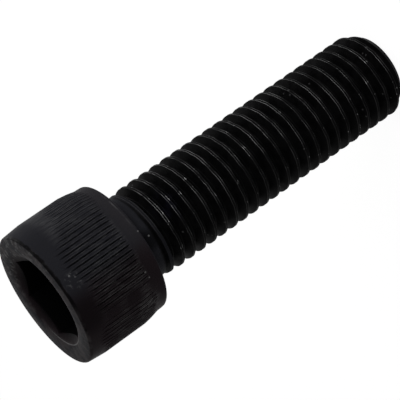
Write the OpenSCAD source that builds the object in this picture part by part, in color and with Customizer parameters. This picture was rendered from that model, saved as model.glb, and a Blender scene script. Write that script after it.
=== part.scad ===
// Hex socket cap screw, M14 x 2 x 50, with a knurled head and a thread right up to the neck.
// The screw stands on its point with the head on top. The origin is the centre of the bearing
// face under the head, +Z runs up the axis to the socket, and -Z runs down to the point.

/* [Thread] */
// Nominal thread diameter
thread_d = 14; // [12:0.5:16]
// Thread pitch
pitch = 2; // [1.5:0.25:2]
// Real outside diameter of the crests, inside the tolerance class 6g
major_d = 13.88; // [11.8:0.02:15.96]
// Length under the head, from the bearing face to the point
length = 49.5; // [30:0.5:80]
// Radius left flat at the point
point_r = 5.6; // [4.4:0.1:6]
// Length of the chamfer at the point
point_chamfer = 1.8; // [1:0.1:3]
// Turn of the thread about the axis, in degrees
thread_turn = 0; // [0:5:355]
// Height of one crest below the bearing face, at the turn's zero
crest_at = 0.83; // [0:0.01:1.99]

/* [Neck] */
// Radius of the plain neck under the head
neck_r = 6.62; // [5.9:0.02:6.8]
// Length of the plain neck
neck_length = 2.1; // [1.4:0.1:3]
// Fillet between neck and bearing face
neck_fillet = 0.8; // [0.6:0.05:1]
// Length over which the first crest rises to its full height
run_in = 2.8; // [1:0.1:4]

/* [Head] */
// Head diameter over the knurl
head_d = 21.3; // [18:0.05:24]
// Head height
head_h = 13.7; // [11:0.05:16]
// Radius of the smooth band next to the bearing face
bearing_band_r = 10.15; // [8.6:0.05:11]
// Radius of the smooth band next to the socket face
face_band_r = 10.4; // [8.8:0.02:11.4]
// Distance below the socket face over which the head narrows to that band
face_taper = 3; // [1:0.1:5]
// Rounding between the side and the socket face
face_round = 0.4; // [0.2:0.05:1.4]
// Rounding between the side and the bearing face
bearing_round = 0.25; // [0.1:0.05:0.6]

/* [Knurl] */
// Number of straight grooves round the head
grooves = 90; // [60:1:120]
// Depth of the grooves at the largest head diameter
groove_depth = 0.27; // [0.1:0.01:0.4]
// Width of a groove at the largest head diameter
groove_w = 0.5; // [0.2:0.02:0.6]
// Height above the bearing face where the grooves start
knurl_from = 2.3; // [1.6:0.1:4]
// Height above the bearing face where the grooves end
knurl_to = 11.3; // [8:0.1:12]
// Length over which the wheel runs out at the socket end
groove_run_out = 1.6; // [0.5:0.1:2]
// Height at which the head has swelled to its full diameter
swell = 4; // [3.5:0.1:6]
// Turn of the grooves about the axis, in degrees
knurl_turn = 3.7; // [0:0.1:3.9]

/* [Socket] */
// Width across the flats of the hexagon
socket_af = 12.06; // [8:0.02:12.2]
// Depth of the hexagon's flat sides
socket_depth = 7.3; // [5:0.1:8]
// Radius of the countersink at its mouth
rim_r = 7.4; // [5:0.05:7.6]
// Radius at which the face starts to curve down to the countersink
lip_r = 8.7; // [7.7:0.05:9.4]
// How far the face has come down at the countersink's mouth
lip_drop = 0.2; // [0.1:0.02:0.5]
// Turn of the hexagon's corners about the axis, in degrees
socket_turn = 15; // [0:1:59]

/* [Hidden] */
$fn = 96;

// Facets in one turn of the thread
turn_steps = 36;

head_r = head_d / 2;
groove_r = head_r - groove_depth;
// The ridges stand this proud of the grooves' floor where the knurl starts.
first_ridge = 0.12;
// The wheel starts to bite over this length, and the bearing band ends a little before it.
bite_in = 0.4;
band_top = knurl_from - 2 * bite_in;
major_r = major_d / 2;
// The root of a rolled 6g thread lies 0.61343 pitches under the nominal surface, less the allowance.
minor_r = thread_d / 2 - 0.61343 * pitch - 0.019;
flank = (major_r - minor_r) * tan(30);
crest_w = pitch / 8 + (thread_d - major_d) * tan(30);
root_w = pitch - crest_w - 2 * flank;

point_z = -length;
// The threaded body ends inside the plain neck, a little slimmer than it.
neck_overlap = 0.5;
thread_top = -neck_length + neck_overlap;
inner_neck_r = neck_r - 0.04;
// Below the plain neck a cone runs down to the thread's root.
cone_top = -neck_length - neck_overlap;
cone_slope = 0.62;

// Corner radius of the hexagon, the depth of a 120 degree countersink, and the radius of the lip round it
socket_r = socket_af / 2 / cos(30);
sink_depth = rim_r / tan(60);
rim_z = head_h - lip_drop;
lip_w = lip_r - rim_r;
lip_round = (lip_w * lip_w + lip_drop * lip_drop) / (2 * lip_drop);
socket_bottom = head_h - socket_depth;
bottom_r = socket_af / 2 - 0.4;
bottom_depth = bottom_r * tan(15);
proud = 1;

// What comes closer to an end than this is put on it, so that no sliver is left there.
snap = 0.002;
function clamp(v, low, high) = v < low + snap ? low : v > high - snap ? high : v;

// Radius of the neck and its cone at height z
function core_r(z) = z > cone_top ? inner_neck_r : max(minor_r, inner_neck_r - (cone_top - z) * cone_slope);

// Highest radius that the first crest and the chamfered point leave at height z
function limit_r(z) =
    let (rising = inner_neck_r + (-neck_length - z) * (major_r - inner_neck_r) / run_in)
    let (point = point_r + (z - point_z) * (major_r + 0.05 - point_r) / point_chamfer)
    min(major_r, max(rising, inner_neck_r), point);

// Height of an edge of the profile above the middle of its crest, and its radius
edge_z = [-crest_w / 2, crest_w / 2, crest_w / 2 + flank, crest_w / 2 + flank + root_w];
edge_r = [major_r, major_r, minor_r, minor_r];
profile_edges = len(edge_r);

first_turn = floor((point_z + crest_at) / pitch) - 2;
last_turn = ceil((thread_top + crest_at) / pitch) + 1;
rows = (last_turn - first_turn) * profile_edges;

// A point of the helical net, by its column round the axis and its row up the axis
function net_z(i, m) =
    let (turns = first_turn + floor(m / profile_edges) + i / turn_steps)
    clamp(turns * pitch - crest_at + edge_z[m % profile_edges], point_z, thread_top);
function net_r(z, m) = z <= point_z ? point_r : min(max(edge_r[m % profile_edges], core_r(z)), limit_r(z));
function net_point(i, m) =
    let (z = net_z(i, m), r = net_r(z, m), angle = 360 * i / turn_steps)
    [r * cos(angle), r * sin(angle), z];

// The column after the last one is the first column, one pitch higher.
function net_index(i, m) = i < turn_steps ? i * (rows + 1) + m : m + profile_edges;

function apart(points, face) =
    points[face[0]] != points[face[1]] && points[face[1]] != points[face[2]] && points[face[2]] != points[face[0]];

module thread() {
    sides = [for (i = [0:turn_steps - 1], m = [0:rows]) net_point(i, m)];
    points = concat(sides, [[0, 0, point_z], [0, 0, thread_top]]);
    low = len(sides);
    high = low + 1;
    net = [for (i = [0:turn_steps - 1], m = [0:rows - 1])
        if (i < turn_steps - 1 || m < rows - profile_edges)
            let (a = net_index(i, m), b = net_index(i + 1, m))
            let (c = net_index(i + 1, m + 1), d = net_index(i, m + 1))
            each [[a, d, c], [a, c, b]]];
    caps = [for (i = [0:turn_steps - 1])
        let (a = i * (rows + 1), b = ((i + 1) % turn_steps) * (rows + 1))
        each [[low, a, b], [high, b + rows, a + rows]]];
    faces = [for (face = concat(net, caps)) if (apart(points, face)) face];
    rotate([0, 0, thread_turn]) polyhedron(points = points, faces = faces, convexity = 12);
}

module neck() {
    reach = neck_r + neck_fillet;
    rotate_extrude() union() {
        translate([0, -neck_length]) square([neck_r, neck_length + proud]);
        difference() {
            translate([0, -neck_fillet]) square([reach, neck_fillet + proud]);
            translate([reach, -neck_fillet]) circle(r = neck_fillet);
        }
    }
}

// The head's outline without its knurl: two smooth bands, and a fuller middle
module head_section() {
    shoulder = head_h - face_round;
    polygon([
        [0, 0], [bearing_band_r - bearing_round, 0], [bearing_band_r, bearing_round], [bearing_band_r + 0.05, band_top],
        [groove_r + first_ridge, knurl_from + bite_in], [head_r, swell], [head_r, head_h - face_taper],
        [face_band_r, shoulder], [face_band_r - face_round, head_h], [0, head_h]]);
    translate([face_band_r - face_round, shoulder]) circle(r = face_round);
    translate([bearing_band_r - bearing_round, bearing_round]) circle(r = bearing_round);
}

// Everything that the knurling leaves: a grooved prism in the middle, with a cone at either end
module knurl_limit() {
    outer = head_r + proud;
    half_groove = groove_w / 2 / head_r * 180 / PI;
    slope = (outer - groove_r) / (head_r - groove_r);
    wide = min(half_groove * slope, 180 / grooves * 0.98);
    step = 360 / grooves;
    outline = [for (i = [0:grooves - 1])
        let (middle = i * step + knurl_turn)
        each [[outer, middle - step + wide], [outer, middle - wide], [groove_r, middle]]];
    linear_extrude(height = head_h + proud)
        polygon([for (p = outline) p[0] * [cos(p[1]), sin(p[1])]]);
    rotate_extrude() polygon([
        [0, -proud], [outer, -proud], [outer, knurl_from - bite_in], [groove_r - 0.1, knurl_from + bite_in],
        [0, knurl_from + bite_in]]);
    rotate_extrude() polygon([
        [0, knurl_to - bite_in], [groove_r - 0.1, knurl_to - bite_in], [outer, knurl_to + groove_run_out],
        [outer, head_h + proud],
        [0, head_h + proud]]);
}

module socket() {
    rotate([0, 0, socket_turn]) {
        translate([0, 0, socket_bottom]) cylinder(r = socket_r, h = socket_depth + proud, $fn = 6);
    }
    translate([0, 0, socket_bottom - bottom_depth]) cylinder(r1 = 0, r2 = bottom_r, h = bottom_depth + 0.001);
    translate([0, 0, rim_z - sink_depth]) cylinder(r1 = 0, r2 = rim_r, h = sink_depth);
    rotate_extrude() difference() {
        translate([0, rim_z]) square([lip_r, lip_drop + proud]);
        translate([lip_r, head_h - lip_round]) circle(r = lip_round);
    }
}

module head() {
    difference() {
        intersection() {
            rotate_extrude() head_section();
            knurl_limit();
        }
        socket();
    }
}

module screw() {
    color([0.13, 0.13, 0.14]) {
        head();
        neck();
        thread();
    }
}

screw();
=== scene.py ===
# %% [markdown]
# # A socket head cap screw, dressed in Blender
#
# The engineering model of the screw arrives as a fixed frame. This script makes the same screw again with
# finer curves: a turned head with a pressed knurl, a hexagon socket, and a rolled thread. Then it gives
# the steel its black oxide finish, and sets up the floor, the light and the camera.

# %% Load the frame
import bpy
import bmesh
import math
from mathutils import Matrix, Vector, noise


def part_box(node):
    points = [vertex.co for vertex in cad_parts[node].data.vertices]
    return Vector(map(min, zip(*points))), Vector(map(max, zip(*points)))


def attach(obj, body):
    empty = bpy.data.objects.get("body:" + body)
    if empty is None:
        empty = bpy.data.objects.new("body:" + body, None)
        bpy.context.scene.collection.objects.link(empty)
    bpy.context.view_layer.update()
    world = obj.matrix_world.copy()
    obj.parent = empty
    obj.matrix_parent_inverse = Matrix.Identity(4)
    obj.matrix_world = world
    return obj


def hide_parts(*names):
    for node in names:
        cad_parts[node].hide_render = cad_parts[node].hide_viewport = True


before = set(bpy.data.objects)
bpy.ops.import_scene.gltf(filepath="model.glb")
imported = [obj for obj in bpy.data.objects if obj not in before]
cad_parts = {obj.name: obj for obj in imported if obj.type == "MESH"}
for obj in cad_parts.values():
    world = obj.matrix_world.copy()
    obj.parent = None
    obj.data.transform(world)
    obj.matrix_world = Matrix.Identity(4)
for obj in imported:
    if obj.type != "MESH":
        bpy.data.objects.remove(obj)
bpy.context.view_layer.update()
MM = 0.001

# %% [markdown]
# ## Sizes
#
# The screw is M14 x 2, with 49.5 mm under the head. The total height comes from the frame, so the new
# piece can't drift away from the engineering model. The rest are the sizes of the real thing: the head,
# the smooth bands on either side of its knurl, the neck, and the thread's crests and roots.

# %% The screw's sizes, in metres
low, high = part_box("screw")
POINT_Z = low[2]
HEAD_TOP = high[2]
HEAD_R = high[0]

PITCH = 2 * MM
CREST_R = 6.94 * MM
ROOT_R = 5.75 * MM
POINT_R = 5.6 * MM
POINT_CHAMFER = 1.8 * MM
CREST_AT = 0.83 * MM

NECK_R = 6.62 * MM
NECK_LENGTH = 2.1 * MM
NECK_FILLET = 0.8 * MM
RUN_IN = 2.8 * MM

BEARING_BAND_R = 10.15 * MM
FACE_BAND_R = 10.4 * MM
FACE_ROUND = 0.4 * MM
FACE_TAPER = 3 * MM
GROOVES = 90
GROOVE_DEPTH = 0.27 * MM
GROOVE_TURN = math.radians(3.7)
KNURL_FROM = 2.3 * MM
# Round the head: angle in degrees, height in mm that the knurling wheel reached, and its share of the bite
WHEEL = [(-180, 11.8, 0.8), (-150, 12.0, 1.0), (-138, 11.9, 0.8), (-129, 11.4, 0.15), (-119, 11.4, 0.9),
         (-95, 11.5, 1.0), (-70, 11.9, 0.9), (-56, 10.2, 0.9), (-50, 9.6, 0.6), (-40, 8.4, 0.8),
         (0, 8.0, 0.65), (60, 11.2, 0.9), (120, 11.3, 0.9), (180, 11.8, 0.8)]

SOCKET_AF = 12.06 * MM
SOCKET_DEPTH = 7.3 * MM
SOCKET_TURN = math.radians(15)
RIM_R = 7.4 * MM
LIP_R = 8.7 * MM
LIP_DROP = 0.2 * MM
print("height under the head", round(-POINT_Z / MM, 2), "mm, head", round(HEAD_TOP / MM, 2), "mm high")

# %% [markdown]
# ## Small helpers
#
# Operators act on whatever is selected, so each step begins with nothing selected. Faces are then picked
# by their place, the way a modeller would click them on screen.

# %% Selecting by place
def deselect_all():
    if bpy.context.mode != "OBJECT":
        bpy.ops.object.mode_set(mode="OBJECT")
    bpy.ops.object.select_all(action="DESELECT")


def activate(piece):
    deselect_all()
    piece.select_set(True)
    bpy.context.view_layer.objects.active = piece


def pick_faces(piece, test):
    """In edit mode, select only the faces whose middle passes the test."""
    bpy.ops.mesh.select_mode(type="FACE")
    bpy.ops.mesh.select_all(action="DESELECT")
    net = bmesh.from_edit_mesh(piece.data)
    for face in net.faces:
        if test(face.calc_center_median()):
            face.select_set(True)
    net.select_flush_mode()
    bmesh.update_edit_mesh(piece.data)


def radius(point):
    return math.hypot(point.x, point.y)


def report(piece):
    size = [round(v / MM, 2) for v in piece.dimensions]
    mesh = piece.data
    print(piece.name, "has", len(mesh.vertices), "vertices,", len(mesh.polygons), "faces, size", size)


# %% [markdown]
# ## The turned blank
#
# A real screw starts as a forged blank: a plain neck, a fillet, a flat bearing face, and a head that is a
# little barrel-shaped. One circle is enough to make it. It is extruded upwards ring by ring, and each new
# ring is scaled to the outline's radius there, over the socket face and down the countersink as well. The
# circle has eight vertices for each knurl groove, so the grooves can be pressed in later without cutting
# any face.

# %% Arcs and the barrel shape
def arc(centre_r, centre_z, size, start, end, steps):
    """Points on a quarter round, as (radius, height)."""
    points = []
    for i in range(steps + 1):
        angle = math.radians(start + (end - start) * i / steps)
        points.append((centre_r + size * math.cos(angle), centre_z + size * math.sin(angle)))
    return points


BAND_TOP = 1.3 * MM
BAND_TOP_R = 10.2 * MM
SWELL = 2.7 * MM
SWELL_R = 10.5 * MM
FULL = 3.9 * MM


def barrel(z):
    """Radius of the head's side at height z: slim at both faces and full in the middle."""
    stops = [(0.0, BEARING_BAND_R), (BAND_TOP, BAND_TOP_R), (SWELL, SWELL_R), (FULL, HEAD_R),
             (HEAD_TOP - FACE_TAPER, HEAD_R), (HEAD_TOP - FACE_ROUND, FACE_BAND_R)]
    for (z0, r0), (z1, r1) in zip(stops, stops[1:]):
        if z <= z1:
            return r0 + (r1 - r0) * max(z - z0, 0) / (z1 - z0)
    return FACE_BAND_R


print("side radius:", [round(barrel(height * MM) / MM, 2) for height in (0, 2, 4, 8, 12, 13)], "mm")

# %% The outline, from the neck's lower end to the socket face
EDGE_ROUND = 0.25 * MM
fillet = arc(NECK_R + NECK_FILLET, -NECK_FILLET, NECK_FILLET, 180, 90, 6)
lower_edge = arc(BEARING_BAND_R - EDGE_ROUND, EDGE_ROUND, EDGE_ROUND, -90, 0, 4)
SIDE_STEPS = 40
side_from = 0.6 * MM
side_step = (HEAD_TOP - FACE_ROUND - side_from) / SIDE_STEPS
side_heights = [side_from + side_step * i for i in range(SIDE_STEPS)]
side = [(barrel(height), height) for height in side_heights]
upper_edge = arc(FACE_BAND_R - FACE_ROUND, HEAD_TOP - FACE_ROUND, FACE_ROUND, 0, 90, 6)
lip_round = ((LIP_R - RIM_R) ** 2 + LIP_DROP ** 2) / (2 * LIP_DROP)
lip_turn = math.degrees(math.asin((LIP_R - RIM_R) / lip_round))
lip = arc(LIP_R, HEAD_TOP - lip_round, lip_round, 90, 90 + lip_turn, 8)
# The countersink goes down to a radius inside the hexagon's flats, which cut its lower end off later.
SINK_R = 5.9 * MM
sink = [(SINK_R, HEAD_TOP - LIP_DROP - (RIM_R - SINK_R) / math.tan(math.radians(60)))]
outline = [(NECK_R, -NECK_LENGTH)] + fillet + lower_edge + side + upper_edge + lip + sink
print("outline has", len(outline), "rings")

# %% Extrude the blank ring by ring
deselect_all()
ring_r, ring_z = outline[0]
bpy.ops.mesh.primitive_circle_add(vertices=GROOVES * 8, radius=ring_r, fill_type="NGON",
                                  location=(0, 0, ring_z))
screw = bpy.context.object
screw.name = "cap_screw"
bpy.ops.object.transform_apply(location=True, rotation=True, scale=True)
bpy.ops.object.mode_set(mode="EDIT")
bpy.ops.mesh.select_all(action="SELECT")
for next_r, next_z in outline[1:]:
    bpy.ops.mesh.extrude_region_move(TRANSFORM_OT_translate={"value": (0, 0, next_z - ring_z)})
    grow = next_r / ring_r
    bpy.ops.transform.resize(value=(grow, grow, 1), center_override=(0, 0, 0))
    ring_r, ring_z = next_r, next_z
bpy.ops.mesh.select_all(action="SELECT")
bpy.ops.mesh.normals_make_consistent(inside=False)
bpy.ops.object.mode_set(mode="OBJECT")
report(screw)

# %% [markdown]
# ## The knurl
#
# The grip on the side is straight knurling: ninety grooves that a wheel presses into the blank. The wheel
# leaves a smooth band at each end. It ran higher and bit deeper in some places than in others, and nearly
# missed one patch. That is easiest to say as a rule for each vertex: how deep the wheel pressed here.

# %% How deep the wheel pressed
def ease(x):
    """A soft step: 0 up to 0, and 1 from 1 on."""
    x = min(max(x, 0.0), 1.0)
    return x * x * (3 - 2 * x)


def wheel(angle):
    """The wheel's reach and bite at an angle, eased between the places in the list."""
    turn = math.degrees(angle)
    for (a0, top0, bite0), (a1, top1, bite1) in zip(WHEEL, WHEEL[1:]):
        if turn <= a1:
            t = ease((turn - a0) / (a1 - a0))
            return (top0 + (top1 - top0) * t) * MM, bite0 + (bite1 - bite0) * t
    return WHEEL[0][1] * MM, WHEEL[0][2]


# Where the grooves start lower: angle in degrees, how much lower in mm, and over how many degrees
LOW_STARTS = [(-35, 0.9, 32), (-144, 0.7, 14)]
RUN_OUT_LOW = 0.5 * MM
RUN_OUT_HIGH = 2 * MM


def groove_start(angle, around):
    """The height where a groove starts. around is the same place, stretched for the noise."""
    start = KNURL_FROM + 0.25 * MM * noise.noise(around * 2.3)
    for middle, lower, spread in LOW_STARTS:
        start -= lower * MM * ease(1 - abs(math.degrees(angle) - middle) / spread)
    return start


def groove_section(angle):
    """The groove's own shape across: a sharp valley, and a shallow hollow between two grooves."""
    step = 2 * math.pi / GROOVES
    offset = abs((angle - GROOVE_TURN + step / 2) % step - step / 2) / step
    valley = max(0.0, 1 - offset / 0.19)
    hollow = 0.25 * ease((offset - 0.22) / 0.28)
    return max(valley, hollow)


def groove_depth(z, angle):
    """How far the wheel pressed in at this height and angle. The noise changes slowly along a groove."""
    around = Vector((math.cos(angle) * 2.2, math.sin(angle) * 2.2, z / MM * 0.16))
    top, bite = wheel(angle)
    top += 0.3 * MM + 0.7 * MM * noise.noise(around * 3)
    reach = ease((z - groove_start(angle, around)) / RUN_OUT_LOW) * ease((top - z) / RUN_OUT_HIGH)
    depth = GROOVE_DEPTH * (1 + 0.3 * noise.noise(around * 1.7 + Vector((7, 0, 0))))
    depth *= 0.97 + 0.22 * noise.noise(Vector((around.x * 9, around.y * 9, z / MM * 1.1)))
    return depth * bite * groove_section(angle) * reach


valleys = [2 * math.pi * i / GROOVES + GROOVE_TURN - math.pi for i in range(GROOVES)]
depths = [groove_depth(6 * MM, angle) for angle in valleys]
print("grooves half way up:", round(min(depths) / MM, 2), "to", round(max(depths) / MM, 2), "mm deep")

# %% Press the grooves
for vertex in screw.data.vertices:
    point = vertex.co
    if 0.5 * MM < point.z < HEAD_TOP - FACE_ROUND and radius(point) > NECK_R * 1.2:
        pressed = 1 - groove_depth(point.z, math.atan2(point.y, point.x)) / radius(point)
        point.x *= pressed
        point.y *= pressed
screw.data.update()
print("pressed", GROOVES, "grooves")

# %% [markdown]
# ## The hexagon socket
#
# A hexagonal punch is cut out of the head with the Boolean modifier. Where its six flat walls meet the
# countersink, the cut leaves the real scalloped edge. The punch leaves a shallow cone at the bottom.

# %% The punch
def cut(piece, cutter, operation="DIFFERENCE"):
    """Apply a Boolean to the piece, and remove the cutter afterwards."""
    activate(piece)
    change = piece.modifiers.new(operation.lower(), "BOOLEAN")
    change.operation = operation
    change.solver = "EXACT"
    change.object = cutter
    bpy.ops.object.modifier_apply(modifier=change.name)
    bpy.data.objects.remove(cutter, do_unlink=True)


socket_floor = HEAD_TOP - SOCKET_DEPTH
corner_r = SOCKET_AF / 2 / math.cos(math.pi / 6)
PROUD = 1 * MM
punch_length = SOCKET_DEPTH + PROUD
TIP_RIM = 0.4 * MM
TIP_LENGTH = 1.5 * MM
TIP_SHARE = 0.05
deselect_all()
bpy.ops.mesh.primitive_cylinder_add(vertices=6, radius=corner_r, depth=punch_length,
                                    location=(0, 0, socket_floor + punch_length / 2))
punch = bpy.context.object
bpy.ops.object.transform_apply(location=True, rotation=True, scale=True)
bpy.ops.object.mode_set(mode="EDIT")
bpy.ops.mesh.select_all(action="SELECT")
first = next(iter(bmesh.from_edit_mesh(punch.data).verts)).co.copy()
to_turn = SOCKET_TURN - math.atan2(first.y, first.x)
bpy.ops.transform.rotate(value=-to_turn, orient_axis="Z", center_override=(0, 0, 0))
floor_z = socket_floor + 0.01 * MM
pick_faces(punch, lambda middle: middle.z < floor_z)
bpy.ops.mesh.inset(thickness=TIP_RIM)
bpy.ops.mesh.extrude_region_move(TRANSFORM_OT_translate={"value": (0, 0, -TIP_LENGTH)})
bpy.ops.transform.resize(value=(TIP_SHARE, TIP_SHARE, 1), center_override=(0, 0, 0))
bpy.ops.object.mode_set(mode="OBJECT")
corner = punch.data.vertices[0].co
print("hexagon corner at", round(math.degrees(math.atan2(corner.y, corner.x)) % 60, 1), "degrees")

# %% Cut the socket
cut(screw, punch)
report(screw)

# %% [markdown]
# ## The thread
#
# A rolled thread is one profile carried round the axis while it climbs: exactly what the Screw modifier
# does. The profile is drawn as a chain of edges by extruding a single vertex. Each crest has two fine
# ridges with a shallow seam between them, which is how metal closes up between thread rolls, and the
# root is round. Afterwards the crests are brought down where the thread runs out at the neck and where
# the point is chamfered.

# %% Draw the profile of one pitch
FLANK = (CREST_R - ROOT_R) * math.tan(math.radians(30))
CREST_W = 0.42 * MM
SEAM = 0.03 * MM
SEAM_W = 0.18 * MM
ROOT_ROUND = 0.06 * MM
ridge_at = CREST_W / 2 - 0.04 * MM
edge_at = CREST_W / 2 + 0.02 * MM
flank_at = (CREST_W + FLANK) / 2
root_at = CREST_W / 2 + FLANK - ROOT_ROUND / 2
profile = [(CREST_R - SEAM, -edge_at), (CREST_R, -ridge_at), (CREST_R - SEAM, -SEAM_W / 2),
           (CREST_R - SEAM, SEAM_W / 2), (CREST_R, ridge_at), (CREST_R - SEAM, edge_at),
           ((CREST_R + ROOT_R) / 2, flank_at), (ROOT_R + ROOT_ROUND, root_at), (ROOT_R, PITCH / 2),
           (ROOT_R + ROOT_ROUND, PITCH - root_at), ((CREST_R + ROOT_R) / 2, PITCH - flank_at),
           (CREST_R - SEAM, PITCH - edge_at)]

lowest_crest = POINT_Z - (POINT_Z + CREST_AT) % PITCH - PITCH
turns = math.ceil((-NECK_LENGTH - lowest_crest) / PITCH) + 2
deselect_all()
bpy.ops.mesh.primitive_plane_add(size=MM, location=(0, 0, 0))
thread = bpy.context.object
thread.name = "thread"
bpy.ops.object.mode_set(mode="EDIT")
bpy.ops.mesh.select_mode(type="VERT")
bpy.ops.mesh.select_all(action="SELECT")
bpy.ops.mesh.merge(type="CENTER")
bpy.ops.transform.translate(value=(profile[0][0], 0, lowest_crest + profile[0][1]))
for here, there in zip(profile, profile[1:]):
    step = (there[0] - here[0], 0, there[1] - here[1])
    bpy.ops.mesh.extrude_region_move(TRANSFORM_OT_translate={"value": step})
bpy.ops.object.mode_set(mode="OBJECT")
print("profile edges:", len(thread.data.edges), "turns:", turns)

# %% Carry it up the axis
activate(thread)
climb = thread.modifiers.new("climb", "SCREW")
climb.axis = "Z"
climb.angle = 2 * math.pi
climb.screw_offset = PITCH
climb.iterations = turns
climb.steps = 96
climb.render_steps = 96
climb.use_merge_vertices = True
climb.merge_threshold = 0.0001 * MM
climb.use_smooth_shade = False
bpy.ops.object.modifier_apply(modifier=climb.name)
bpy.ops.object.mode_set(mode="EDIT")
bpy.ops.mesh.select_all(action="SELECT")
bpy.ops.mesh.remove_doubles(threshold=0.001 * MM)
bpy.ops.object.mode_set(mode="OBJECT")
report(thread)

# %% [markdown]
# The thread comes out as a long ribbon with open ends. Two rules give it its ends: near the neck the
# crests sink to the neck's radius while the roots climb a short cone, and at the point the crests follow
# the chamfer. The crests also waver a little along the axis, because the steel doesn't close up evenly
# between the rolls. Then a plane trims each end and closes it with a face.

# %% Run-out and chamfer
CONE_TOP = -NECK_LENGTH - 0.5 * MM
CONE_SLOPE = 0.62
INNER_NECK_R = NECK_R - 0.04 * MM


def core(z):
    """Smallest radius that is left at height z: the root, rising in a cone to the neck."""
    if z > CONE_TOP:
        return INNER_NECK_R
    return max(ROOT_R, INNER_NECK_R - (CONE_TOP - z) * CONE_SLOPE)


def limit(z):
    """Largest radius that is left at height z: the chamfer, and the first crest rising from the neck."""
    rising = INNER_NECK_R + (-NECK_LENGTH - z) * (CREST_R - INNER_NECK_R) / RUN_IN
    chamfer = POINT_R + (z - POINT_Z) * (CREST_R + 0.05 * MM - POINT_R) / POINT_CHAMFER
    return max(min(max(rising, INNER_NECK_R), chamfer), 0.5 * MM)


WAVER = 0.1 * MM
for vertex in thread.data.vertices:
    point = vertex.co
    here = radius(point)
    if here > CREST_R - 0.05 * MM:
        point.z += WAVER * noise.noise(point / MM * 0.8)
    wanted = max(here, core(point.z))
    if limit(point.z) < CREST_R:
        wanted = min(wanted, limit(point.z))
    point.x *= wanted / here
    point.y *= wanted / here
thread.data.update()
print("crests reach", round(max(radius(vertex.co) for vertex in thread.data.vertices) / MM, 2), "mm")

# %% Trim the ends
def trim(height, **clear):
    """Cut the selected mesh at a height, clear one side of the cut, and close the other with a face."""
    bpy.ops.mesh.select_all(action="SELECT")
    bpy.ops.mesh.bisect(plane_co=(0, 0, height), plane_no=(0, 0, 1), use_fill=True, threshold=0.0001 * MM,
                        **clear)


bpy.ops.object.mode_set(mode="EDIT")
trim(POINT_Z, clear_inner=True)
trim(-NECK_LENGTH + 0.5 * MM, clear_outer=True)
bpy.ops.mesh.select_all(action="SELECT")
bpy.ops.mesh.normals_make_consistent(inside=False)
bpy.ops.object.mode_set(mode="OBJECT")
report(thread)

# %% Join the thread to the blank
cut(screw, thread, "UNION")
report(screw)
net = bmesh.new()
net.from_mesh(screw.data)
open_edges = sum(1 for edge in net.edges if not edge.is_manifold)
print("edges that aren't closed:", open_edges, "volume", round(net.calc_volume() / MM**3, 1), "mm3")
net.free()

# %% Smooth the round faces and keep the sharp edges
activate(screw)
bpy.ops.object.shade_smooth_by_angle(angle=math.radians(24))
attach(screw, "root")
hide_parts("screw")

# %% [markdown]
# ## Black oxide
#
# Black oxide is a thin skin grown on the steel itself, oiled to a satin sheen. It is nearly black, with a
# faint blue or brown cast in patches. Where the screw has rubbed against others, on thread crests and
# edges, the skin is thinner and the steel shows grey; some of these grey lines and spots are painted
# highlights, and some dark places are painted shade. Every such mark can be told from its place on the
# screw, so the finish needs no picture: the material reads Object coordinates and works out masks, which
# are 1 where a mark is and 0 where it isn't. These helpers each add one kind of node.

# %% Helpers for the nodes
finish = bpy.data.materials.new("black_oxide")
finish.use_nodes = True
nodes = finish.node_tree.nodes
links = finish.node_tree.links
nodes.clear()


def node(kind, **settings):
    made = nodes.new(kind)
    for key, value in settings.items():
        if key in made.inputs:
            made.inputs[key].default_value = value
        else:
            setattr(made, key, value)
    return made


def math_node(operation, a, b=0.0, clamp=False):
    made = nodes.new("ShaderNodeMath")
    made.operation = operation
    made.use_clamp = clamp
    for socket, value in zip(made.inputs, (a, b)):
        if isinstance(value, bpy.types.NodeSocket):
            links.new(value, socket)
        else:
            socket.default_value = value
    return made.outputs[0]


def plus(a, b):
    return math_node("ADD", a, b)


def minus(a, b):
    return math_node("SUBTRACT", a, b)


def larger(a, b):
    return math_node("MAXIMUM", a, b)


def either(a, b):
    """The sum of two masks, and never more than 1."""
    return math_node("ADD", a, b, True)


def times(*factors):
    product = factors[0]
    for factor in factors[1:]:
        product = math_node("MULTIPLY", product, factor)
    return product


def fade(mask, least):
    """The mask again, with its 0 raised to least and its 1 kept."""
    return plus(times(mask, 1 - least), least)


def band(value, start, end):
    """0 on the side of start and 1 on the side of end, with a soft step between them."""
    made = nodes.new("ShaderNodeMapRange")
    made.interpolation_type = "SMOOTHSTEP"
    links.new(value, made.inputs["Value"])
    made.inputs["From Min"].default_value = start
    made.inputs["From Max"].default_value = end
    return made.outputs["Result"]


def mix_colour(factor, first, second):
    made = nodes.new("ShaderNodeMix")
    made.data_type = "RGBA"
    for name, value in (("Factor", factor), ("A", first), ("B", second)):
        socket = [s for s in made.inputs if s.name == name and (name == "Factor" or s.type == "RGBA")][0]
        if isinstance(value, bpy.types.NodeSocket):
            links.new(value, socket)
        else:
            socket.default_value = value
    return [s for s in made.outputs if s.type == "RGBA"][0]


print("helpers ready for", finish.name)

# %% [markdown]
# ### Where on the screw
#
# The masks need the height, the distance from the axis, and noise. Noise comes in two kinds: even patches,
# as on a cast or oiled skin, and streaks along the axis, as the knurling wheel leaves on its ridges.

# %% The place, patches, streaks and spots
texture_place = nodes.new("ShaderNodeTexCoord")
place = texture_place.outputs["Object"]
split = nodes.new("ShaderNodeSeparateXYZ")
links.new(place, split.inputs[0])
x, y, z = split.outputs
from_axis = math_node("POWER", plus(times(x, x), times(y, y)), 0.5)

STREAK_SQUASH = 0.14
drawn = node("ShaderNodeVectorMath", operation="MULTIPLY")
drawn.inputs[1].default_value = (1.0, 1.0, STREAK_SQUASH)
links.new(place, drawn.inputs[0])
along_axis = drawn.outputs["Vector"]


def cloud(scale, detail=3.0, roughness=0.55, vector=place):
    made = node("ShaderNodeTexNoise", Scale=scale, Detail=detail, Roughness=roughness)
    links.new(vector, made.inputs["Vector"])
    return made.outputs["Fac"]


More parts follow.
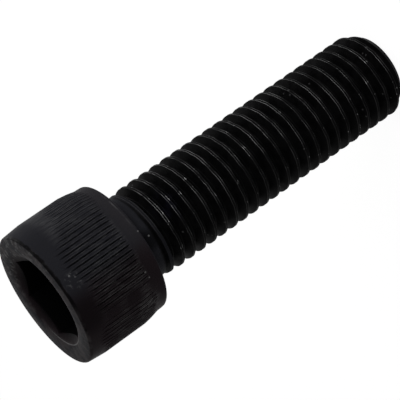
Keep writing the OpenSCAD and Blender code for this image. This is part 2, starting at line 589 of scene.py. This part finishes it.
def patches(scale, start, end, detail=3.0):
    """1 in the patches where the noise is past end. A larger scale gives smaller patches."""
    return band(cloud(scale, detail), start, end)


def streaks(scale, start, end):
    return band(cloud(scale, 2.0, 0.6, along_axis), start, end)


def spot(angle, out, height, reach):
    """1 near a place given by its angle, distance from the axis and height, and 0 beyond its reach."""
    gap = node("ShaderNodeVectorMath", operation="DISTANCE")
    turn = math.radians(angle)
    gap.inputs[1].default_value = (out * math.cos(turn), out * math.sin(turn), height)
    links.new(place, gap.inputs[0])
    return band(gap.outputs["Value"], reach, 0.3 * reach)


print("place, noise and spots,", len(nodes), "nodes so far")

# %% [markdown]
# ### The thread's crests
#
# Crests rub first. The two fine ridges of each crest shine where they touched something: the ridge on the
# head's side all along, and the one on the point's side only here and there. To tell them apart, the
# material counts pitches down the helix, so that each crest is at a whole number. On the first crest under
# the head, which never reaches its full height, the same count finds two faint lines. A few dents show
# bare metal.

# %% Rubbed crests, the first crest, and dents
on_thread = band(z, -NECK_LENGTH - 0.2 * MM, -NECK_LENGTH - 0.6 * MM)
crest = times(band(from_axis, CREST_R - 0.026 * MM, CREST_R - 0.008 * MM), on_thread)

turned = math_node("DIVIDE", math_node("ARCTAN2", y, x), 2 * math.pi)
pitches = minus(math_node("DIVIDE", plus(z, CREST_AT), PITCH), turned)
past_crest = minus(math_node("FRACT", plus(pitches, 0.5)), 0.5)
head_side = band(past_crest, -0.02, 0.02)
point_side = times(patches(230, 0.46, 0.6, 2.0), band(z, -44 * MM, -22 * MM))

rubbed = plus(times(patches(300, 0.38, 0.62), 0.8), 0.12)
rubbed = times(rubbed, larger(head_side, fade(point_side, 0.3)))
# The rubbed crests are painted fainter towards -x, the side away from the light, as painted shade
crest_light_side = fade(band(x, -4.5 * MM, 1.5 * MM), 0.16)
nicked = patches(1300, 0.66, 0.72, 2.0)
crest_wear_and_highlight = times(crest, either(times(rubbed, crest_light_side), nicked))

off_crest = math_node("ABSOLUTE", past_crest)
first_crest = times(band(off_crest, 0.05, 0.075), band(off_crest, 0.125, 0.1))
first_crest = times(first_crest, band(x, -3.5 * MM, 0.5 * MM))
risen = times(minus(-NECK_LENGTH, z), (CREST_R - INNER_NECK_R) / RUN_IN)
run_in = band(minus(minus(from_axis, INNER_NECK_R), risen), -0.04 * MM, -0.01 * MM)
run_in = times(run_in, on_thread, band(z, -NECK_LENGTH - RUN_IN, -NECK_LENGTH - 0.8 * RUN_IN))
first_crest = times(first_crest, run_in)

# Dents on the crests: angle in degrees and height in mm
DENTS = [(-76, -7.4), (-72, -7.6), (-85, -5.4), (-78, -9.3), (-67, -11.3), (-77, -21.2), (-76, -45.2),
         (-97, -43.3)]
dent = patches(1900, 0.68, 0.73, 2.0)
for angle, height in DENTS:
    dent = either(dent, spot(angle, CREST_R, height * MM, 0.35 * MM))
dent = times(dent, crest, 0.7)
print("crests and", len(DENTS), "dents,", len(nodes), "nodes so far")

# %% [markdown]
# ### Socket face, edge and socket
#
# The flat ring round the socket rubs paler at its two ends, and on one side the countersink's mouth has a
# thin grey line, a painted highlight. Near the camera the ring's outer edge is painted dark and a little
# ragged, as painted shade. The socket itself is painted nearly black, as painted shade: hardly any light
# comes back out of it.

# %% Face, rim, crease and socket
on_face = times(band(z, HEAD_TOP - 0.5 * MM, HEAD_TOP - 0.1 * MM), band(from_axis, SINK_R, RIM_R))
worn = times(on_face, band(math_node("ABSOLUTE", x), 1 * MM, 6 * MM))

# Painted highlight: a thin grey line round the countersink's mouth, on the -x side only
from_rim = math_node("ABSOLUTE", minus(from_axis, RIM_R))
rim_highlight = times(band(from_rim, 0.1 * MM, 0.03 * MM), band(z, HEAD_TOP - 0.4 * MM, HEAD_TOP - 0.3 * MM))
rim_highlight = times(rim_highlight, band(x, -0.4 * RIM_R, -0.8 * RIM_R))

# Painted shade along the face ring's outer edge, on the camera's side, made ragged by noise
ragged = plus(z, times(cloud(900, 2.0), 0.5 * MM))
crease_shade = band(ragged, HEAD_TOP - 0.25 * MM, HEAD_TOP - 0.05 * MM)
crease_shade = times(crease_shade, band(z, HEAD_TOP, HEAD_TOP - 0.04 * MM))
crease_shade = times(crease_shade, band(from_axis, RIM_R + 1 * MM, FACE_BAND_R - 0.4 * MM), band(y, 0.0, -6 * MM))
crease_shade = times(crease_shade, fade(band(x, -5 * MM, -2 * MM), 0.2))

# Painted shade: the socket, painted nearly black
inside = band(from_axis, RIM_R - 0.15 * MM, RIM_R - 0.45 * MM)
inside = times(inside, band(z, HEAD_TOP - 0.2 * MM, HEAD_TOP - 1.2 * MM), band(z, -NECK_LENGTH, 0.0))
print("face, rim and socket,", len(nodes), "nodes so far")

# %% [markdown]
# ### The knurl
#
# The grooves are painted dark, as painted shade, and the ridges between them are scratched lengthways. A
# point is in a groove when it lies under the ridges' radius, which follows the barrel shape of the head: it
# narrows towards the socket face, towards the bearing face, and more steeply still towards the band there.

# %% Grooves and ridges
face_slope = (HEAD_R - FACE_BAND_R) / (FACE_TAPER - FACE_ROUND)
swell_slope = (HEAD_R - SWELL_R) / (FULL - SWELL)
band_slope = (SWELL_R - BAND_TOP_R) / (SWELL - BAND_TOP)
to_face = times(minus(z, HEAD_TOP - FACE_TAPER), face_slope)
to_swell = times(minus(FULL, z), swell_slope)
to_band = plus(times(minus(SWELL, z), band_slope), HEAD_R - SWELL_R)
narrowed = larger(larger(to_face, larger(to_swell, to_band)), 0.0)
below_ridge = minus(minus(HEAD_R, narrowed), from_axis)

on_side = times(band(from_axis, FACE_BAND_R - 0.6 * MM, FACE_BAND_R - 0.2 * MM), band(z, 0.0, 0.3 * MM))
# Painted shade: the knurl's grooves, darker in patches
groove_shade = times(band(below_ridge, 0.05 * MM, 0.17 * MM), fade(patches(1100, 0.36, 0.6), 0.7))
groove_shade = times(groove_shade, band(z, KNURL_FROM - 1.1 * MM, KNURL_FROM - 0.9 * MM))
groove_shade = times(groove_shade, band(z, HEAD_TOP - 0.7 * MM, HEAD_TOP - 1.2 * MM))

knurled = band(z, KNURL_FROM - 0.4 * MM, KNURL_FROM + 0.6 * MM)
knurled = times(on_side, knurled, band(z, HEAD_TOP - 2.4 * MM, HEAD_TOP - 4.6 * MM))
scratched = times(knurled, streaks(5500, 0.5, 0.68), fade(patches(900, 0.4, 0.6), 0.3))
# Painted highlight along the ridges' tops, in streaks
ridge_highlight = times(knurled, band(below_ridge, 0.04 * MM, 0.01 * MM), streaks(2500, 0.35, 0.65))
# Painted glints along the ridge tops low on the head, on its -x side
ridge_glints = times(spot(-147, HEAD_R, 3.6 * MM, 2.8 * MM), on_side, band(below_ridge, 0.06 * MM, 0.02 * MM))
ridge_glints = times(ridge_glints, streaks(3200, 0.42, 0.62))
print("ridges narrow by", round(face_slope, 3), round(swell_slope, 3), round(band_slope, 3), "mm per mm")

# %% [markdown]
# ### Marks of use, painted highlights and painted shade
#
# A used screw has a smudge near its edge and some small nicks, which are painted bright as glints. A thin
# line near the bearing band's lower edge is a painted highlight. On one patch of the head the wheel
# pressed lightly, and the skin is smoother and browner there. Two places are painted a little darker
# than the rest, as painted shade.

# %% Smudge, painted edge highlight, glinting nicks, painted shade and tints
# Nicks, painted bright as glints: angle in degrees, then distance from the axis, height and reach in mm
GLINTING_NICKS = [(-85.7, 10.6, 11.9, 0.22), (-87.4, 10.15, 0.2, 0.18), (-97.8, 6.62, -2.0, 0.2),
         (-116.6, 10.4, 2.4, 0.18), (-122.3, 10.4, 2.2, 0.16)]
marks = times(spot(-90, HEAD_R, 11.7 * MM, 1.6 * MM), patches(2200, 0.5, 0.68, 4.0), 0.5)
# Painted highlight: a thin line near the lower edge of the bearing band
bearing_edge_highlight = times(band(z, 0.58 * MM, 0.48 * MM), band(z, 0.32 * MM, 0.42 * MM))
bearing_edge_highlight = times(bearing_edge_highlight, spot(-62, BEARING_BAND_R, 0.4 * MM, 3.8 * MM))
bearing_edge_highlight = times(bearing_edge_highlight, patches(420, 0.4, 0.55, 2.0), 0.5)
marks = either(marks, bearing_edge_highlight)
for angle, out, height, reach in GLINTING_NICKS:
    marks = either(marks, spot(angle, out * MM, height * MM, reach * MM))

# Two places of painted shade on the head, the patch that the wheel nearly missed, and the browner side of
# the head
shaded = either(spot(-118, HEAD_R, 12.6 * MM, 4.5 * MM), times(spot(-112, HEAD_R, 6 * MM, 6 * MM), 0.55))
smooth_patch = either(spot(-129, HEAD_R, 9 * MM, 2.4 * MM), spot(-129, HEAD_R, 5.5 * MM, 2.4 * MM))
grooved = minus(1.0, smooth_patch)
reddish = band(plus(x, times(cloud(120), 7 * MM)), 4 * MM, -1 * MM)
reddish = either(times(reddish, on_side), times(smooth_patch, 0.5))
reddish = either(reddish, times(band(from_axis, RIM_R + 0.5 * MM, RIM_R), band(z, 0.0, 1 * MM)))
print("marks of use with", len(GLINTING_NICKS), "nicks,", len(nodes), "nodes so far")

# %% [markdown]
# ### Colours
#
# Each mask now lays its colour over the skin, one after the other: first the tints, then rubbed steel, then
# soot and painted shade, then scratches and painted highlights. The order matters, because a later colour
# covers an earlier one.

# %% Colours over one another
blue = (0.0092, 0.0093, 0.0112, 1)
brown = (0.0078, 0.0056, 0.0066, 1)
black = (0.0023, 0.0023, 0.0024, 1)
blue_black = (0.0024, 0.0023, 0.0040, 1)
face_grey = (0.0260, 0.0228, 0.0240, 1)
# Grey steel, for rubbed crests, scratches and bare spots, and for painted highlights on the socket's rim,
# the knurl's ridges, the bearing band's edge and the nicks
steel_and_highlight = (0.120, 0.120, 0.120, 1)
bright = (0.350, 0.350, 0.350, 1)
# Near black, for real soot in oily patches on the thread and the face, and for painted shade in the knurl's
# grooves, the socket, along the face ring's edge and at two places on the head
soot_and_shade = (0.0008, 0.0008, 0.0009, 1)

flanks = mix_colour(spot(-80, CREST_R, -7 * MM, 3.5 * MM), black, blue_black)
oiled = times(on_thread, patches(620, 0.42, 0.6))
# Darker at one place on the neck, just under the head
neck_darkening = spot(-103, NECK_R, -1.7 * MM, 2.2 * MM)
paler = times(on_side, band(z, 3.2 * MM, 1.2 * MM), band(x, -4 * MM, 2 * MM))
skin = mix_colour(reddish, blue, brown)
skin = mix_colour(on_thread, skin, flanks)
skin = mix_colour(times(oiled, 0.75), skin, soot_and_shade)
skin = mix_colour(times(run_in, 0.6), skin, blue)
skin = mix_colour(times(first_crest, 0.1), skin, steel_and_highlight)
skin = mix_colour(times(neck_darkening, 0.7), skin, soot_and_shade)
skin = mix_colour(times(paler, 0.25), skin, face_grey)

skin = mix_colour(times(on_face, patches(700, 0.38, 0.62, 4.0)), skin, face_grey)
worn_through = times(worn, band(x, -2 * MM, 2 * MM), patches(1500, 0.52, 0.64))
skin = mix_colour(times(worn_through, 0.4), skin, steel_and_highlight)
skin = mix_colour(times(worn, patches(1150, 0.44, 0.36), 0.6), skin, soot_and_shade)
# Painted highlight on the socket's rim
skin = mix_colour(times(rim_highlight, 0.6), skin, steel_and_highlight)
# Rubbed crests in grey steel, painted fainter on the side away from the light
skin = mix_colour(crest_wear_and_highlight, skin, steel_and_highlight)
skin = mix_colour(dent, skin, bright)

# Painted shade at two places on the head's side
skin = mix_colour(times(shaded, on_side, 0.5), skin, soot_and_shade)
# Painted shade in the knurl's grooves
skin = mix_colour(times(groove_shade, 0.9), skin, soot_and_shade)
skin = mix_colour(times(crease_shade, 0.9), skin, soot_and_shade)
skin = mix_colour(times(scratched, grooved, 0.11), skin, steel_and_highlight)
# Painted highlight on the ridge tops
skin = mix_colour(times(ridge_highlight, grooved, 0.11), skin, steel_and_highlight)
# Painted glints on the ridges
skin = mix_colour(times(ridge_glints, 0.4), skin, steel_and_highlight)
# Smudge of bare steel, with the painted edge highlight and the nicks painted bright as glints
skin = mix_colour(times(marks, 0.6), skin, steel_and_highlight)

speck_cells = node("ShaderNodeTexVoronoi", Scale=700.0)
links.new(place, speck_cells.inputs["Vector"])
speck = math_node("LESS_THAN", speck_cells.outputs["Distance"], 0.12)
speck = times(speck, math_node("GREATER_THAN", cloud(260), 0.58))
skin = mix_colour(times(speck, 0.2), skin, steel_and_highlight)
# The socket painted nearly black, as painted shade
skin = mix_colour(inside, skin, soot_and_shade)
print("colours mixed,", len(nodes), "nodes so far")

# %% [markdown]
# ### Grain and gloss
#
# The skin is matt to satin, with a fine grain that breaks up the highlights. The grain is bump only: it is
# far too shallow to model. Oil makes the gloss differ a little from place to place.

# %% The surface
fine = cloud(2600, 4.0, 0.6)
broad = cloud(300, 3.0)
grain = plus(times(fine, 0.6), times(broad, 0.4))
roughness = plus(0.34, times(broad, 0.22))
bump = node("ShaderNodeBump", Strength=0.6, Distance=0.03 * MM)
links.new(grain, bump.inputs["Height"])
surface = node("ShaderNodeBsdfPrincipled")
surface.inputs["Metallic"].default_value = 0.0
surface.inputs["IOR"].default_value = 1.3
surface.inputs["Specular IOR Level"].default_value = 0.02
links.new(skin, surface.inputs["Base Color"])
links.new(roughness, surface.inputs["Roughness"])
links.new(bump.outputs["Normal"], surface.inputs["Normal"])
output = nodes.new("ShaderNodeOutputMaterial")
links.new(surface.outputs["BSDF"], output.inputs["Surface"])
screw.data.materials.clear()
screw.data.materials.append(finish)
print("material", finish.name, "with", len(nodes), "nodes")

# %% [markdown]
# ## Floor, light and camera
#
# The screw stands on its point on a pale floor. The floor fills the whole view and looks white to the
# camera and in reflections, because it glows for those rays alone. For all other rays it is matt grey, so
# it still takes the screw's shadow and doesn't light the screw from below.

# %% The floor
SEEING_RAYS = ("Is Camera Ray", "Is Glossy Ray", "Is Transmission Ray")


def largest(tree, values):
    """The largest of several outputs, by a chain of Math nodes."""
    last = values[0]
    for value in values[1:]:
        made = tree.nodes.new("ShaderNodeMath")
        made.operation = "MAXIMUM"
        tree.links.new(last, made.inputs[0])
        tree.links.new(value, made.inputs[1])
        last = made.outputs[0]
    return last


deselect_all()
bpy.ops.mesh.primitive_plane_add(size=6, location=(0, 0, POINT_Z))
floor = bpy.context.object
floor.name = "floor"
paper = bpy.data.materials.new("paper")
paper.use_nodes = True
paper_nodes = paper.node_tree.nodes
paper_links = paper.node_tree.links
paper_nodes.clear()
paper_path = paper_nodes.new("ShaderNodeLightPath")
seen = largest(paper.node_tree, [paper_path.outputs[ray] for ray in SEEING_RAYS])
share = paper_nodes.new("ShaderNodeMath")
share.operation = "MULTIPLY"
share.inputs[1].default_value = 0.85
matt = paper_nodes.new("ShaderNodeBsdfDiffuse")
matt.inputs["Color"].default_value = (0.8, 0.8, 0.8, 1)
glow = paper_nodes.new("ShaderNodeEmission")
glow.inputs["Strength"].default_value = 1.1
blend = paper_nodes.new("ShaderNodeMixShader")
paper_out = paper_nodes.new("ShaderNodeOutputMaterial")
paper_links.new(seen, share.inputs[0])
paper_links.new(share.outputs[0], blend.inputs["Fac"])
paper_links.new(matt.outputs[0], blend.inputs[1])
paper_links.new(glow.outputs[0], blend.inputs[2])
paper_links.new(blend.outputs[0], paper_out.inputs["Surface"])
floor.data.materials.append(paper)
print("floor at", round(POINT_Z / MM, 2), "mm")

# %% [markdown]
# ### Light
#
# The world is white to the camera and in reflections too, and lights the screw evenly, a little less from
# straight above, where the socket face would otherwise turn pale. Three square lamps shape it: a key from
# the front right, a weak one from the left, and one from behind that draws the far edge of the thread.

# %% The world
world = bpy.data.worlds.new("studio")
bpy.context.scene.world = world
world.use_nodes = True
world_nodes = world.node_tree.nodes
world_links = world.node_tree.links
sky = world_nodes["Background"]
sky.inputs["Color"].default_value = (1, 1, 1, 1)
direction = world_nodes.new("ShaderNodeTexCoord")
height = world_nodes.new("ShaderNodeSeparateXYZ")
dimmed = world_nodes.new("ShaderNodeMapRange")
dimmed.interpolation_type = "SMOOTHSTEP"
for name, value in (("From Min", 0.25), ("From Max", 0.85), ("To Min", 0.5), ("To Max", 0.2)):
    dimmed.inputs[name].default_value = value
world_links.new(direction.outputs["Generated"], height.inputs[0])
world_links.new(height.outputs["Z"], dimmed.inputs["Value"])
world_path = world_nodes.new("ShaderNodeLightPath")
world_rays = [world_path.outputs[ray] for ray in SEEING_RAYS]
strength = largest(world.node_tree, [dimmed.outputs["Result"]] + world_rays)
world_links.new(strength, sky.inputs["Strength"])
print("world", world.name, "with", len(world_nodes), "nodes")

# %% The lamps
AIM = Vector((0, 0, -10 * MM))


def softbox(name, where, size, watts):
    """A square area light at a place given in metres, facing the screw just under its head."""
    deselect_all()
    bpy.ops.object.light_add(type="AREA", location=where)
    lamp = bpy.context.object
    lamp.name = name
    lamp.data.size = size
    lamp.data.energy = watts
    lamp.rotation_euler = (Vector(where) - AIM).to_track_quat("Z", "Y").to_euler()
    print("lamp", name, watts, "W")


softbox("key", (0.34, -0.44, 0.08), 0.45, 3.6)
softbox("side", (-0.45, 0.05, 0.0), 0.25, 0.5)
softbox("back", (0.45, 0.28, 0.12), 0.3, 1.5)

# %% [markdown]
# ### Camera
#
# The camera looks down on the screw from the head's side, at a long focal length. It is rolled, so that the
# screw lies across the picture with its socket at the lower left.

# %% The camera
CAMERA_SPOT = Vector((-1.02, -230.38, 79.16)) * MM
CAMERA_PITCH = math.radians(22.0)
CAMERA_ROLL = math.radians(125.09)
deselect_all()
bpy.ops.object.camera_add(location=CAMERA_SPOT)
camera = bpy.context.object
camera.data.sensor_width = 36
camera.data.lens = 155.6
camera.data.shift_x = -0.0011
camera.data.shift_y = 0.0012
camera.data.clip_start = 0.01
facing = Matrix.Rotation(math.pi / 2 - CAMERA_PITCH, 4, "X") @ Matrix.Rotation(-CAMERA_ROLL, 4, "Z")
camera.matrix_world = Matrix.Translation(CAMERA_SPOT) @ facing
bpy.context.scene.camera = camera
bpy.context.scene.view_settings.view_transform = "Standard"
print("camera", round(CAMERA_SPOT.length / MM), "mm away, lens", round(camera.data.lens, 1), "mm")
